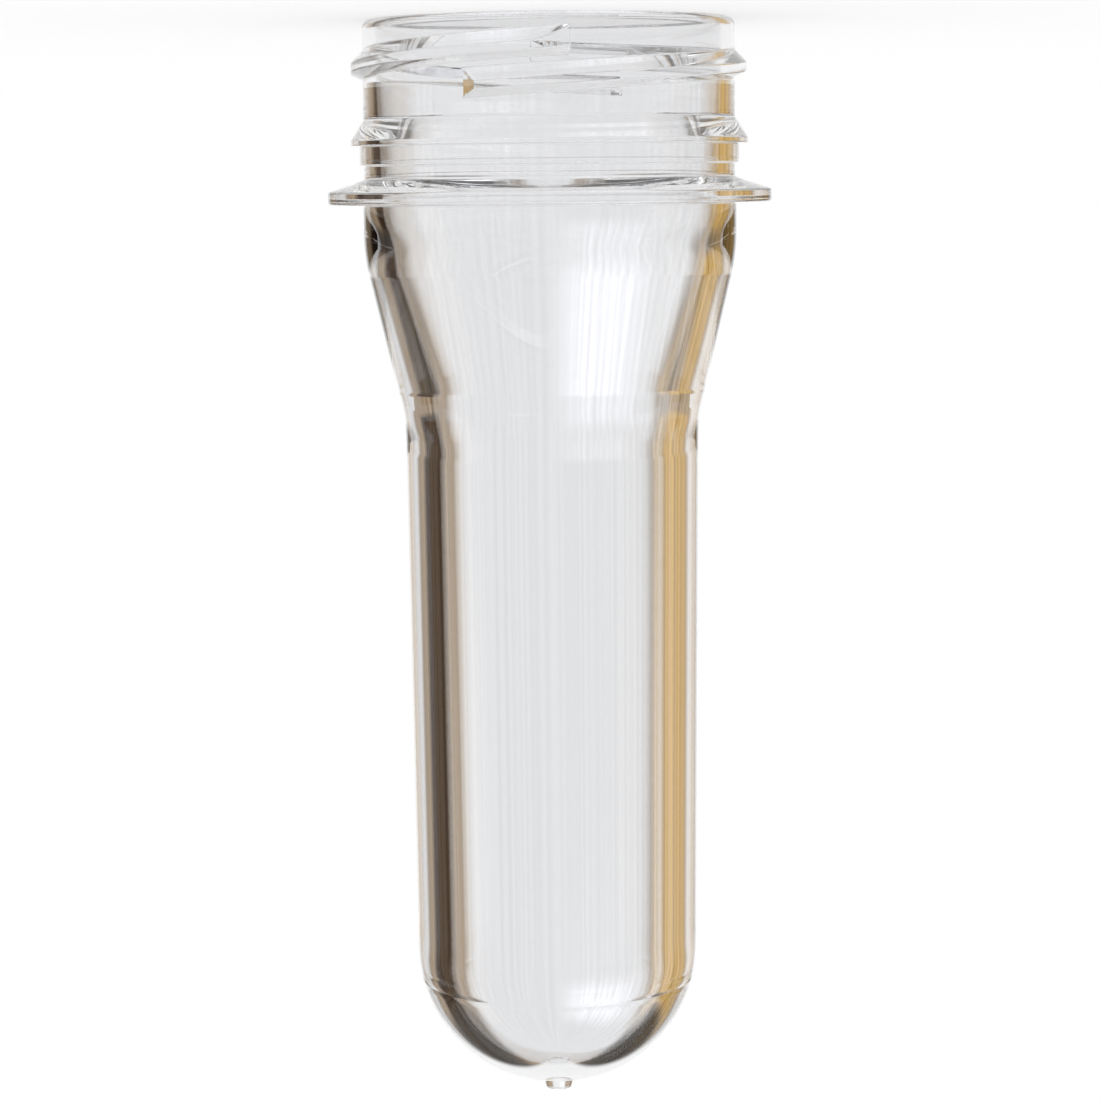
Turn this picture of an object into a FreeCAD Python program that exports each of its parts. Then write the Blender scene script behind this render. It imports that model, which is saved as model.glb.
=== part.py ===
# PET preform for stretch blow moulding, with a 38 mm two-start neck finish, moulded in one piece.
#
# It stands on its mouth. The lip plane is z = 0, the axis is Z, and +Z runs from the open neck to the
# closed gate end. From the lip up: threaded neck, tamper band bead, stepped collar, support ring,
# shoulder cone, drafted body and round end with the gate nub. All sizes are in millimetres.
import FreeCAD, Part
import math
import os

# Neck wall and its lip
neck_radius = 17.46
neck_wall = 1.25
lip_chamfer = 0.5
sealing_bore_length = 6.0  # straight part of the bore, where a cap's plug seals
bore_draft_deg = 2.0  # from the sealing bore to the core's step

# Thread: helical ridges with a gentle flank towards the lip and a steep one towards the gate
thread_starts = 2
thread_lead = 6.35
thread_turn_deg = 213.0
thread_first_crest = 2.85  # height of the crest's middle where the ridge begins
thread_height = 1.1
thread_crest_land = 0.9
thread_lip_flank_run = 1.15
thread_gate_flank_run = 0.5
thread_flare_deg = 14.0  # the crest widens towards the lip over this turn, up to the cut start
thread_run_out_deg = 6.0  # the ridge sinks into the wall over this turn at its far end
thread_start_deg = -96.0
thread_root_depth = 0.5  # how far the ridge reaches into the neck wall

# Bead that holds the cap's tamper band, and the step beyond it
bead_offset = 9.25  # lip plane to the foot of the cone
bead_cone_length = 1.95
bead_height = 1.22
bead_rim = 0.48
step_length = 1.82
step_height = 0.38
step_to_ring = 1.32

# Support ring, which carries the preform on rails and in the blow mould
ring_overhang = 3.4
ring_cone_length = 1.15
ring_rim = 1.18
ring_edge_chamfer = 0.2

# Outside of the body
collar_step = 0.1  # the collar stands this much proud of the neck wall
collar_length = 4.75
shoulder_round = 18.0
shoulder_length = 15.65
shoulder_reduction = 3.69
body_length = 50.55
body_draft_deg = 0.56

# Core, which forms the inside: from inside the collar, three cones lead to the body
core_step_offset = 2.15  # the first cone starts this far beyond the support ring
collar_wall = 2.85  # across the axis, where the first cone meets the second
core_shoulder_offset = 1.6  # the second cone starts this far beyond the outside's cone
core_shoulder_length = 10.8
core_shoulder_wall = 3.28  # across the axis, where the second cone meets the third
core_run_in_length = 6.4  # of the third and gentlest cone
body_wall = 3.1
gate_wall = 2.1

# Gate nub, the cut-off sprue in the middle of the round end
nub_root_radius = 1.45
nub_tip_radius = 1.2
nub_height = 0.95

# Heights of the outside, from the lip plane
bead_rim_start = bead_offset + bead_cone_length
bead_end = bead_rim_start + bead_rim
step_end = bead_end + step_length
ring_start = step_end + step_to_ring
ring_rim_start = ring_start + ring_cone_length
ring_end = ring_rim_start + ring_rim
shoulder_start = ring_end + collar_length
shoulder_end = shoulder_start + shoulder_length
dome_centre = shoulder_end + body_length

# Radii of the outside
bead_radius = neck_radius + bead_height
step_radius = neck_radius + step_height
ring_radius = neck_radius + ring_overhang
collar_radius = neck_radius + collar_step
body_radius = collar_radius - shoulder_reduction
body_draft = math.radians(body_draft_deg)
dome_radius = (body_radius - body_length * math.tan(body_draft)) * math.cos(body_draft)
dome_end = dome_centre + dome_radius
nub_root = dome_centre + math.sqrt(dome_radius**2 - nub_root_radius**2)
nub_end = dome_end + nub_height

# Heights and radii of the inside
bore_radius = neck_radius - neck_wall
core_step_start = ring_end + core_step_offset
bore_taper = (core_step_start - sealing_bore_length) * math.tan(math.radians(bore_draft_deg))
collar_core_radius = collar_radius - collar_wall
core_shoulder_start = shoulder_start + core_shoulder_offset
core_shoulder_end = core_shoulder_start + core_shoulder_length
shoulder_slope = shoulder_reduction / shoulder_length
shoulder_core_radius = (
    collar_radius - (core_shoulder_end - shoulder_start) * shoulder_slope - core_shoulder_wall
)
core_run_in_end = core_shoulder_end + core_run_in_length
core_radius = body_radius - (core_run_in_end - shoulder_end) * math.tan(body_draft) - body_wall
core_apex = dome_end - gate_wall
core_dome_radius = (
    (core_radius - (core_apex - core_run_in_end) * math.tan(body_draft))
    * math.cos(body_draft)
    / (1 - math.sin(body_draft))
)
core_dome_centre = core_apex - core_dome_radius


def at(radius, height):
    """The point of the XZ half plane at this radius and height."""
    return FreeCAD.Vector(radius, 0, height)


def side(start, end):
    """The straight edge between two points. A drafted wall, which leans a little, turns as one span."""
    lean = abs(end.x - start.x) / start.distanceToPoint(end)
    if lean < 0.001 or lean > 0.1:
        return Part.LineSegment(start, end).toShape()
    span = Part.BezierCurve()
    span.setPoles([start, end])
    return span.toShape()


def rounded_path(corners):
    """Edges through corners of (radius, height, rounding), with a tangent arc at each rounded one."""
    edges = []
    start = at(*corners[0][:2])
    for before, corner, after in zip(corners, corners[1:], corners[2:]):
        tip = at(*corner[:2])
        back = (at(*before[:2]) - tip).normalize()
        ahead = (at(*after[:2]) - tip).normalize()
        rounding = corner[2]
        if rounding > 0:
            half_turn = (math.pi - back.getAngle(ahead)) / 2
            setback = rounding * math.tan(half_turn)
            inward = (back + ahead).normalize()
            middle = tip + inward * (rounding / math.cos(half_turn) - rounding)
            edges.append(side(start, tip + back * setback))
            edges.append(Part.Arc(tip + back * setback, middle, tip + ahead * setback).toShape())
            start = tip + ahead * setback
        else:
            edges.append(side(start, tip))
            start = tip
    edges.append(side(start, at(*corners[-1][:2])))
    return edges


def dome_arc(centre, radius, first, last):
    """The arc about a centre on the axis, between two elevations above the dome's equator."""
    middle = (first + last) / 2
    points = [
        at(radius * math.cos(turn), centre + radius * math.sin(turn)) for turn in (first, middle, last)
    ]
    return Part.Arc(*points).toShape()


def core_wall():
    """Corners of the inside, from the core's dome down to the lip."""
    return [
        (
            core_dome_radius * math.cos(body_draft),
            core_dome_centre + core_dome_radius * math.sin(body_draft),
            0,
        ),
        (core_radius, core_run_in_end, 0),
        (shoulder_core_radius, core_shoulder_end, 0),
        (collar_core_radius, core_shoulder_start, 0),
        (bore_radius - bore_taper, core_step_start, 0),
        (bore_radius, sealing_bore_length, 0),
        (bore_radius, 0, 0),
    ]


def neck_finish():
    """Corners of the outside, from the lip past the bead and the step to the support ring."""
    return [
        (neck_radius - lip_chamfer, 0, 0),
        (neck_radius, lip_chamfer, 0),
        (neck_radius, bead_offset, 0),
        (bead_radius, bead_rim_start, 0),
        (bead_radius, bead_end, 0),
        (step_radius, bead_end, 0),
        (step_radius, step_end, 0),
        (neck_radius, step_end, 0),
        (neck_radius, ring_start, 0),
        (ring_radius, ring_rim_start, 0),
        (ring_radius, ring_end - ring_edge_chamfer, 0),
        (ring_radius - ring_edge_chamfer, ring_end, 0),
        (collar_radius, ring_end, 0),
    ]


def body_wall_outside():
    """Corners of the outside, from the collar to where the round end begins."""
    return [
        (collar_radius, shoulder_start, shoulder_round),
        (body_radius, shoulder_end, 0),
        (
            dome_radius * math.cos(body_draft),
            dome_centre + dome_radius * math.sin(body_draft),
            0,
        ),
    ]


def blank():
    """The preform without its thread: the wall's section, turned about the axis."""
    nub_elevation = math.acos(nub_root_radius / dome_radius)
    outline = rounded_path(core_wall() + neck_finish() + body_wall_outside())
    outline.append(dome_arc(dome_centre, dome_radius, body_draft, nub_elevation))
    outline += rounded_path(
        [
            (nub_root_radius, nub_root, 0),
            (nub_tip_radius, nub_end, 0),
            (0, nub_end, 0),
            (0, core_apex, 0),
        ]
    )
    outline.append(dome_arc(core_dome_centre, core_dome_radius, math.pi / 2, body_draft))
    section = Part.Face(Part.Wire(outline))
    return section.revolve(at(0, 0), FreeCAD.Vector(0, 0, 1), 360)


def ridge_section(turn_deg, first_deg):
    """The thread's section, this far round from its start: crest, two flanks and a buried root."""
    crest_middle = thread_first_crest + thread_lead * turn_deg / 360
    flare = max(0, 1 - turn_deg / thread_flare_deg) ** 2
    left = min(1, (thread_turn_deg - turn_deg) / thread_run_out_deg)
    height = thread_height * left - thread_root_depth / 2 * (1 - left)
    lip_slope = thread_lip_flank_run / thread_height
    gate_slope = thread_gate_flank_run / thread_height
    lip_edge = crest_middle - thread_crest_land / 2 - thread_lip_flank_run
    gate_edge = crest_middle + thread_crest_land / 2 + thread_gate_flank_run
    crest = neck_radius + height
    root = neck_radius - thread_root_depth
    corners = [
        (root, lip_edge - lip_slope * thread_root_depth * (1 - flare)),
        (crest, lip_edge + lip_slope * height * (1 - flare)),
        (crest, gate_edge - gate_slope * height),
        (root, gate_edge + gate_slope * thread_root_depth),
    ]
    section = Part.makePolygon([at(*corner) for corner in corners + corners[:1]])
    section.rotate(at(0, 0), FreeCAD.Vector(0, 0, 1), first_deg + turn_deg)
    return section


def thread_ridge(first_deg):
    """One thread start, lofted through its sections: flared cut start, helical run, sloped run-out."""
    steady_deg = thread_turn_deg - thread_run_out_deg
    flare_turns = [thread_flare_deg * part / 4 for part in range(4)]
    spans = round((steady_deg - thread_flare_deg) / 12)
    step_deg = (steady_deg - thread_flare_deg) / spans
    run_turns = [thread_flare_deg + step_deg * n for n in range(spans + 1)]
    along = Part.makeLoft([ridge_section(turn, first_deg) for turn in flare_turns + run_turns], True)
    ends = [ridge_section(turn, first_deg) for turn in (steady_deg, thread_turn_deg)]
    return along.fuse(Part.makeLoft(ends, True, True))


def preform():
    """The whole moulding as one solid."""
    turns = [thread_start_deg + 360 * n / thread_starts for n in range(thread_starts)]
    moulding = blank().fuse([thread_ridge(first_deg) for first_deg in turns]).removeSplitter()
    return moulding.Solids[0]


os.makedirs("parts", exist_ok=True)
body = preform()
body.exportStep("parts/preform.step")
print(
    f"preform: {body.BoundBox.XLength:.2f} x {body.BoundBox.ZLength:.2f} mm, "
    f"{body.Volume / 1000:.2f} cm3, valid {body.isValid()}"
)
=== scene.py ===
import bmesh
import bpy
import numpy as np
from mathutils import Matrix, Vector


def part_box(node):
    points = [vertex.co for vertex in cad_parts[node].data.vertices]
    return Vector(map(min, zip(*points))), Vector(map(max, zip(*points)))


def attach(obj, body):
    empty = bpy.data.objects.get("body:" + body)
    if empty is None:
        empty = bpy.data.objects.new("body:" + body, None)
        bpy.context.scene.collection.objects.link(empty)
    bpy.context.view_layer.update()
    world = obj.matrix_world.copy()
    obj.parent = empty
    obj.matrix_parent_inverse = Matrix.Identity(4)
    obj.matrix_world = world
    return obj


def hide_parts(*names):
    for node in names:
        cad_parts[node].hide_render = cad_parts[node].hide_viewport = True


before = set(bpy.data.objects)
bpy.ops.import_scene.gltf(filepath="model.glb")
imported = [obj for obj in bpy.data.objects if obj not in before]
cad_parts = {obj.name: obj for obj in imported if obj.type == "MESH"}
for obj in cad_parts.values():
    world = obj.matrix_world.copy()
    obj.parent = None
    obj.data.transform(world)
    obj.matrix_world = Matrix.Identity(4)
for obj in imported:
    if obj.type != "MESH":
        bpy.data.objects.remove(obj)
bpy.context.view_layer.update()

# ---------------------------------------------------------------------------------------------
# The preform: one piece of clear PET, injection moulded round a core. The neck is already at its
# final size, with a two-start thread, a tamper band bead, a stepped collar and the support ring.
# Below it the thick tube, with its round end and gate nub, waits to be blown into a bottle.
# Sizes are in millimetres. Heights count from the lip, on which the preform stands.
# ---------------------------------------------------------------------------------------------
MM = 0.001
box_low, box_high = (np.array(corner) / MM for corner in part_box("preform"))
length, ring_radius = box_high[2], box_high[0]

neck_radius = ring_radius - 3.4
bore_radius = neck_radius - 1.25
sealing_bore_end = 6.0
bead_start, bead_rim_start, bead_end = 9.25, 11.2, 11.68
bead_radius = neck_radius + 1.22
step_radius, step_end = neck_radius + 0.38, 13.5
ring_start, ring_rim_start, ring_end = 14.82, 15.97, 17.15
collar_radius = neck_radius + 0.1
shoulder_start, shoulder_end = 21.9, 37.55
body_radius, body_draft = collar_radius - 3.69, np.radians(0.56)
nub_height, nub_root_radius, nub_tip_radius = 0.95, 1.45, 1.2
dome_centre = shoulder_end + 50.55
dome_end = length - nub_height
dome_radius = dome_end - dome_centre
core_step_start = 19.3
core_mouth_radius, collar_core_radius = bore_radius - 0.464, collar_radius - 2.85
core_shoulder_start, core_shoulder_end, core_run_in_end = 23.5, 34.3, 40.7
shoulder_core_radius = collar_radius - 6.207
core_radius = body_radius - (core_run_in_end - shoulder_end) * np.tan(body_draft) - 3.1
core_apex = dome_end - 2.1
core_reach = (core_apex - core_run_in_end) * np.tan(body_draft)
core_dome_radius = (core_radius - core_reach) * np.cos(body_draft) / (1 - np.sin(body_draft))

thread_lead, thread_starts, thread_turn = 6.35, 2, 212.0
thread_first_crest, thread_first_turn = 2.85, -96.0
thread_height, crest_land, lip_flank, gate_flank = 1.1, 0.9, 1.15, 0.5
flare_turn, run_out_turn = 14.0, 4.9
threaded_low, threaded_high = 0.95, 9.0
sharp_from = np.radians(34)


def rounded_line(corners, arc_step=10.0, guard=0.12, most=4.0):
    """Radius and height along a line through (radius, height, rounding) corners.

    Each rounded corner is an arc tangent to both of its sides, cut into steps of arc_step degrees and
    of no more than half a millimetre. A straight side is cut into lengths of at most `most`, with a
    short one, the guard, at each end, so that its shading stays straight up to the arc.
    """
    tips = np.array([corner[:2] for corner in corners], float)
    pieces = [tips[:1]]
    for before, tip, after, (_, _, rounding) in zip(tips, tips[1:], tips[2:], corners[1:]):
        back, ahead = (before - tip) / np.hypot(*(before - tip)), (after - tip) / np.hypot(*(after - tip))
        turn = np.pi - np.arccos(np.clip(back @ ahead, -1, 1))
        start = tip + back * rounding * np.tan(turn / 2)
        centre = tip + (back + ahead) / np.hypot(*(back + ahead)) * rounding / np.cos(turn / 2)
        steps = int(np.ceil(max(np.degrees(turn) / arc_step, turn * rounding / 0.5))) if rounding else 0
        hand = np.sign(back[1] * ahead[0] - back[0] * ahead[1])
        swing = np.linspace(0, 1, steps + 1)[:, None] * turn * hand
        spoke = start - centre
        arc = centre + spoke * np.cos(swing) + np.array([-spoke[1], spoke[0]]) * np.sin(swing)
        pieces += [straight_points(pieces[-1][-1], start, guard, most), arc]
    pieces += [straight_points(pieces[-1][-1], tips[-1], guard, most), tips[-1:]]
    return np.concatenate(pieces)


def straight_points(start, end, guard, most):
    """The points inside a straight side: a guard's length from each end and evenly between."""
    side = np.hypot(*(end - start))
    if side < 3 * guard:
        return np.empty((0, 2))
    places = np.linspace(guard, side - guard, max(2, int(np.ceil(side / most)) + 1))
    return start + (end - start) * places[:, None] / side


def dome_line(centre, radius, first, last, steps):
    """Radius and height along a sphere's meridian, between two elevations in radians."""
    rise = np.linspace(first, last, steps + 1)
    return np.stack([radius * np.cos(rise), centre + radius * np.sin(rise)], axis=1)


def carried_round(radius, height, turns):
    """Points at each radius and height (rows) and turn in degrees (columns): a lathe's formula."""
    turns = np.radians(turns)
    return np.stack(np.broadcast_arrays(radius * np.cos(turns), radius * np.sin(turns), height), axis=2)


def threaded_wall(turns, low, high):
    """The outside of the neck between two heights, with rows that run along the thread's helix.

    A row keeps its place in the section of a ridge: how far it reaches out, from 0 on the wall to 1
    on the crest, and its height about the crest's middle. It climbs one lead a turn, so the last
    column meets the first one lead further on. Rows that would pass an end of the wall lie on it.
    A ridge starts as a sheer face, with its lip flank stood up, and a slope cuts off its far end.
    """
    half, pitch = crest_land / 2, thread_lead / thread_starts
    gap = (pitch - lip_flank - crest_land - gate_flank) / 2
    section = rounded_line(
        [
            (0, -half - lip_flank - gap, 0),
            (0, -half - lip_flank, 0.15),
            (thread_height, -half, 0.15),
            (thread_height, half, 0.15),
            (0, half + gate_flank, 0.12),
            (0, half + gate_flank + gap, 0),
        ],
        18,
        0.06,
        0.3,
    )[:-1]
    reach, offset = section[:, 0] / thread_height, section[:, 1]
    crest_at_zero = thread_first_crest - thread_lead * thread_first_turn / 360
    first_band = np.ceil((high - crest_at_zero - offset[0]) / pitch)
    last_band = np.floor((low - crest_at_zero - thread_lead) / pitch) - 1
    bands = np.arange(first_band, last_band - 1, -1)
    crest = (crest_at_zero + pitch * bands)[:, None, None] + thread_lead * turns / 360
    turned = (crest - thread_first_crest) * 360 / thread_lead
    present = (turned > 0) & (turned < thread_turn)
    tall = present * np.clip((thread_turn - turned) / run_out_turn, 0, 1)
    flare = present * np.clip(1 - turned / flare_turn, 0, 1) ** 2
    reach, offset = reach[::-1, None], offset[::-1, None]
    lipwards = np.clip((half - offset) / (2 * half), 0, 1)
    height = crest + offset - lip_flank * flare * reach * lipwards
    radius = neck_radius + thread_height * np.minimum(reach, tall) * (height > low) * (height < high)
    shape = (-1, len(turns))
    return carried_round(radius.reshape(shape), np.clip(height, low, high).reshape(shape), turns)


def closed_surface(name, grid):
    """A mesh from a grid of points whose neighbours are joined; points in one place become one."""
    rows, columns, _ = grid.shape
    index = np.arange(rows * columns).reshape(rows, columns)
    quads = np.stack([index[:-1, :-1], index[:-1, 1:], index[1:, 1:], index[1:, :-1]], axis=2)
    mesh = bpy.data.meshes.new(name)
    mesh.from_pydata(grid.reshape(-1, 3) * MM, [], quads.reshape(-1, 4))
    shell = bmesh.new()
    shell.from_mesh(mesh)
    bmesh.ops.remove_doubles(shell, verts=shell.verts, dist=1e-6)
    bmesh.ops.recalc_face_normals(shell, faces=shell.faces)
    shell.to_mesh(mesh)
    shell.free()
    mesh.shade_smooth()
    mesh.set_sharp_from_angle(angle=sharp_from)
    piece = bpy.data.objects.new(name, mesh)
    bpy.context.scene.collection.objects.link(piece)
    return piece


# The mould's gate insert leaves a fine raised line round the round end. Its crest and its feet lie
# at these elevations on the dome.
insert_rise = np.arcsin(3.3 / dome_radius)
line_height = 0.02
line_crest = insert_rise + np.array([0.003, -0.003])
line_feet = insert_rise + np.array([0.008, -0.008])
nub_elevation = np.arccos(nub_root_radius / dome_radius)
nub_root = dome_centre + dome_radius * np.sin(nub_elevation)
gate_and_dome = np.concatenate(
    [
        rounded_line(
            [(0, length, 0), (nub_tip_radius, length, 0.15), (nub_root_radius, nub_root, 0)], 22, 0.05
        ),
        dome_line(dome_centre, dome_radius, nub_elevation, line_feet[0], 28),
        dome_line(dome_centre, dome_radius + line_height, *line_crest, 1),
        dome_line(dome_centre, dome_radius, line_feet[1], body_draft, 8),
    ]
)
outside = rounded_line(
    [
        (dome_radius * np.cos(body_draft), dome_centre + dome_radius * np.sin(body_draft), 0),
        (body_radius, shoulder_end, 12.0),
        (collar_radius, shoulder_start, 18.0),
        (collar_radius, ring_end, 0.15),
        (ring_radius, ring_end, 0.25),
        (ring_radius, ring_rim_start, 0.2),
        (neck_radius, ring_start, 0.2),
        (neck_radius, step_end, 0.1),
        (step_radius, step_end, 0.12),
        (step_radius, bead_end, 0.1),
        (bead_radius, bead_end, 0.1),
        (bead_radius, bead_rim_start, 0.15),
        (neck_radius, bead_start, 0.3),
        (neck_radius, threaded_high, 0),
    ],
    15,
)
inside = rounded_line(
    [
        (neck_radius, threaded_low, 0),
        (neck_radius, 0, 0.7),
        (bore_radius, 0, 0.25),
        (bore_radius, sealing_bore_end, 3.0),
        (core_mouth_radius, core_step_start, 16.0),
        (collar_core_radius, core_shoulder_start, 0.6),
        (shoulder_core_radius, core_shoulder_end, 1.0),
        (core_radius, core_run_in_end, 3.0),
        (
            core_dome_radius * np.cos(body_draft),
            core_apex - core_dome_radius * (1 - np.sin(body_draft)),
            0,
        ),
    ],
    12,
)
core_dome = dome_line(core_apex - core_dome_radius, core_dome_radius, body_draft, np.pi / 2, 36)

even_turns = np.linspace(0, 360, 241)
starts = np.arange(thread_starts) * 360 / thread_starts + thread_first_turn % 360
sheer_faces = np.concatenate([starts - 0.01, starts + 0.01])
slopes = (starts[:, None] + np.linspace(thread_turn - run_out_turn, thread_turn, 9)).ravel()
turns = np.unique(np.concatenate([even_turns, sheer_faces % 360, slopes % 360]))
upper = np.concatenate([gate_and_dome, outside])
lower = np.concatenate([inside, core_dome])
grid = np.concatenate(
    [
        carried_round(upper[:, :1], upper[:, 1:], turns),
        threaded_wall(turns, threaded_low, threaded_high),
        carried_round(lower[:, :1], lower[:, 1:], turns),
    ]
)
preform = closed_surface("moulded_preform", grid)


class Shade:
    """A socket of a node tree: arithmetic on it adds Math nodes, and node() adds any other."""

    def __init__(self, tree, socket=None):
        self.tree, self.socket = tree, socket

    def node(self, kind, settings=None, inputs=None, output=0):
        """A new node's output: the node takes its settings first, then its sockets' values or links."""
        made = self.tree.nodes.new(kind)
        for name, value in (settings or {}).items():
            setattr(made, name, value)
        for name, value in (inputs or {}).items():
            if isinstance(value, Shade):
                self.tree.links.new(value.socket, made.inputs[name])
            else:
                made.inputs[name].default_value = value
        return Shade(self.tree, made.outputs[output])

    def maths(self, operation, *values):
        """A Math node on these values."""
        return self.node("ShaderNodeMath", {"operation": operation}, dict(enumerate(values)))

    def __add__(self, other):
        return self.maths("ADD", self, other)

    def __sub__(self, other):
        return self.maths("SUBTRACT", self, other)

    def __mul__(self, other):
        return self.maths("MULTIPLY", self, other)

    __radd__, __rmul__ = __add__, __mul__

    def __rsub__(self, other):
        return self.maths("SUBTRACT", other, self)

    def feed(self, node, name):
        """Links this value to a socket of a node that is there already."""
        self.tree.links.new(self.socket, node.inputs[name])


# Clear PET with the faint grey of a thick wall. Its polish has lines along the mould's draw.
polish_lines_per_metre = (1500.0, 1500.0, 20.0)
polish_depth = 0.0000005
clear_pet = bpy.data.materials.new("clear_pet")
clear_pet.use_nodes = True
shader = clear_pet.node_tree.nodes["Principled BSDF"]
shader.inputs["Base Color"].default_value = (0.865, 0.868, 0.875, 1)
shader.inputs["Transmission Weight"].default_value = 1
shader.inputs["Roughness"].default_value = 0.0
shader.inputs["IOR"].default_value = 1.575
pet = Shade(clear_pet.node_tree)
place = pet.node("ShaderNodeTexCoord", output="Object")
drawn = pet.node("ShaderNodeMapping", inputs={"Vector": place, "Scale": polish_lines_per_metre})
lines = pet.node("ShaderNodeTexNoise", inputs={"Vector": drawn, "Scale": 1.0, "Detail": 2.0})
pet.node("ShaderNodeBump", inputs={"Height": lines, "Distance": polish_depth}).feed(shader, "Normal")
preform.data.materials.append(clear_pet)
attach(preform, "root")
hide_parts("preform")

# ---------------------------------------------------------------------------------------------
# The studio: a white backdrop and a white floor, with boards, side lights and a window hung round
# the object. The clear wall shows the white behind it, and its edges, where the view bends far
# aside, show the honey and the dark board. Bare rays see plain white.
# ---------------------------------------------------------------------------------------------
scene = bpy.context.scene
scene.view_settings.view_transform = "Standard"
scene.cycles.max_bounces = 32
scene.cycles.transmission_bounces = 32
scene.cycles.glossy_bounces = 24

white = (1.0, 1.0, 1.0)
# Each card: its middle in degrees from straight behind the object towards the left, half its width
# and the softness of its side edges; the same for its height above the horizon; and its colour.
cards = [
    ((-140, 30, 15), (35, 15, 10), (3.5, 3.5, 3.8)),  # window behind the camera
    ((-85, 20, 5), (25, 20, 5), (1.5, 1.5, 1.5)),  # side light, right
    ((90, 15, 5), (25, 20, 5), (1.5, 1.4, 1.3)),  # side light, left
    ((10, 75, 6), (15, 75, 15), (0.4, 0.3, 0.2)),  # brown wall
    ((-40, 25, 5), (45, 20, 4), (0.08, 0.07, 0.06)),  # dark ceiling, right
    ((40, 25, 5), (40, 20, 4), (0.08, 0.07, 0.06)),  # dark ceiling, left
    ((-45, 20, 3), (10, 12, 3), (0.65, 0.42, 0.15)),  # honey board, right
    ((50, 15, 3), (10, 12, 3), (0.05, 0.03, 0.02)),  # dark board, left
]
backdrop = ((0, 20, 5), (20, 60, 8), white)

world = bpy.data.worlds.new("studio")
world.use_nodes = True
scene.world = world
studio = Shade(world.node_tree)
direction = studio.node("ShaderNodeTexCoord", output="Generated")
east, north, up = (
    studio.node("ShaderNodeSeparateXYZ", inputs={"Vector": direction}, output=part) for part in range(3)
)
turn = studio.maths("ARCTAN2", east, north) * np.degrees(1)
rise = studio.maths("ARCSINE", up) * np.degrees(1)


def soft_card(distance, half, softness):
    """1 inside a card's half size and 0 outside it, with a smooth step between."""
    edges = {"Value": distance, "From Min": half - softness, "From Max": half + softness}
    edges |= {"To Min": 1.0, "To Max": 0.0}
    return studio.node("ShaderNodeMapRange", {"interpolation_type": "SMOOTHSTEP"}, edges)


def hang(room, card):
    """The room's colour with a card laid over what hangs there before it."""
    (turn_at, half_width, side_edge), (rise_at, half_height, top_edge), colour = card
    aside = studio.maths("ABSOLUTE", studio.maths("WRAP", turn - turn_at, 180.0, -180.0))
    above = studio.maths("ABSOLUTE", rise - rise_at)
    cover = soft_card(aside, half_width, side_edge) * soft_card(above, half_height, top_edge)
    return studio.node("ShaderNodeMix", {"data_type": "RGBA"}, {0: cover, 6: room, 7: (*colour, 1.0)}, 2)


room = (*white, 1.0)
for card in cards:
    room = hang(room, card)
# The boards have an upright grain; the backdrop, laid over them last, is plain.
upright_grain = {"W": turn, "Scale": 0.25, "Detail": 5.0}
grain = studio.node("ShaderNodeTexNoise", {"noise_dimensions": "1D"}, upright_grain)
room = studio.node("ShaderNodeVectorMath", {"operation": "SCALE"}, {0: room, "Scale": grain * 1.8 + 0.1})
room = hang(room, backdrop)
# Only rays from the object's own surface see what hangs in the room.
glossy = studio.node("ShaderNodeLightPath", output="Is Glossy Ray")
transmitted = studio.node("ShaderNodeLightPath", output="Is Transmission Ray")
bare = studio.node("ShaderNodeBackground", inputs={"Color": (*white, 1.0)})
hung = studio.node("ShaderNodeBackground", inputs={"Color": room})
in_object = studio.maths("MAXIMUM", glossy, transmitted)
studio.node("ShaderNodeMixShader", inputs={0: in_object, 1: bare, 2: hung}).feed(
    world.node_tree.nodes["World Output"], "Surface"
)

# The floor: a white sheet, which glows so that the object's shadow on it stays faint.
floor_radius, glow_share = 0.25, 0.65
bpy.ops.mesh.primitive_circle_add(vertices=96, radius=floor_radius, fill_type="NGON")
floor = bpy.context.object
floor.name = "floor_sheet"
sheet = bpy.data.materials.new("white_sheet")
sheet.use_nodes = True
paper = Shade(sheet.node_tree)
matt = paper.node("ShaderNodeBsdfDiffuse", inputs={"Color": (*white, 1.0)})
glow = paper.node("ShaderNodeEmission", inputs={"Color": (*white, 1.0)})
paper.node("ShaderNodeMixShader", inputs={0: glow_share, 1: matt, 2: glow}).feed(
    sheet.node_tree.nodes["Material Output"], "Surface"
)
floor.data.materials.append(sheet)

# ---------------------------------------------------------------------------------------------
# The camera: a long lens, level with the support ring, tipped towards the gate end and turned
# over, so that the preform shows with its mouth up.
# ---------------------------------------------------------------------------------------------
lens = bpy.data.cameras.new("long_lens")
lens.sensor_width = 36
lens.lens = 110.85
camera = bpy.data.objects.new("long_lens", lens)
scene.collection.objects.link(camera)
stand = (0.00033, -0.321, 0.01452)
tilt, roll = np.radians(6.32), np.radians(179.41)
camera.matrix_world = (
    Matrix.Translation(stand)
    @ Matrix.Rotation(np.pi / 2 + tilt, 4, "X")
    @ Matrix.Rotation(roll, 4, "Z")
)
scene.camera = camera
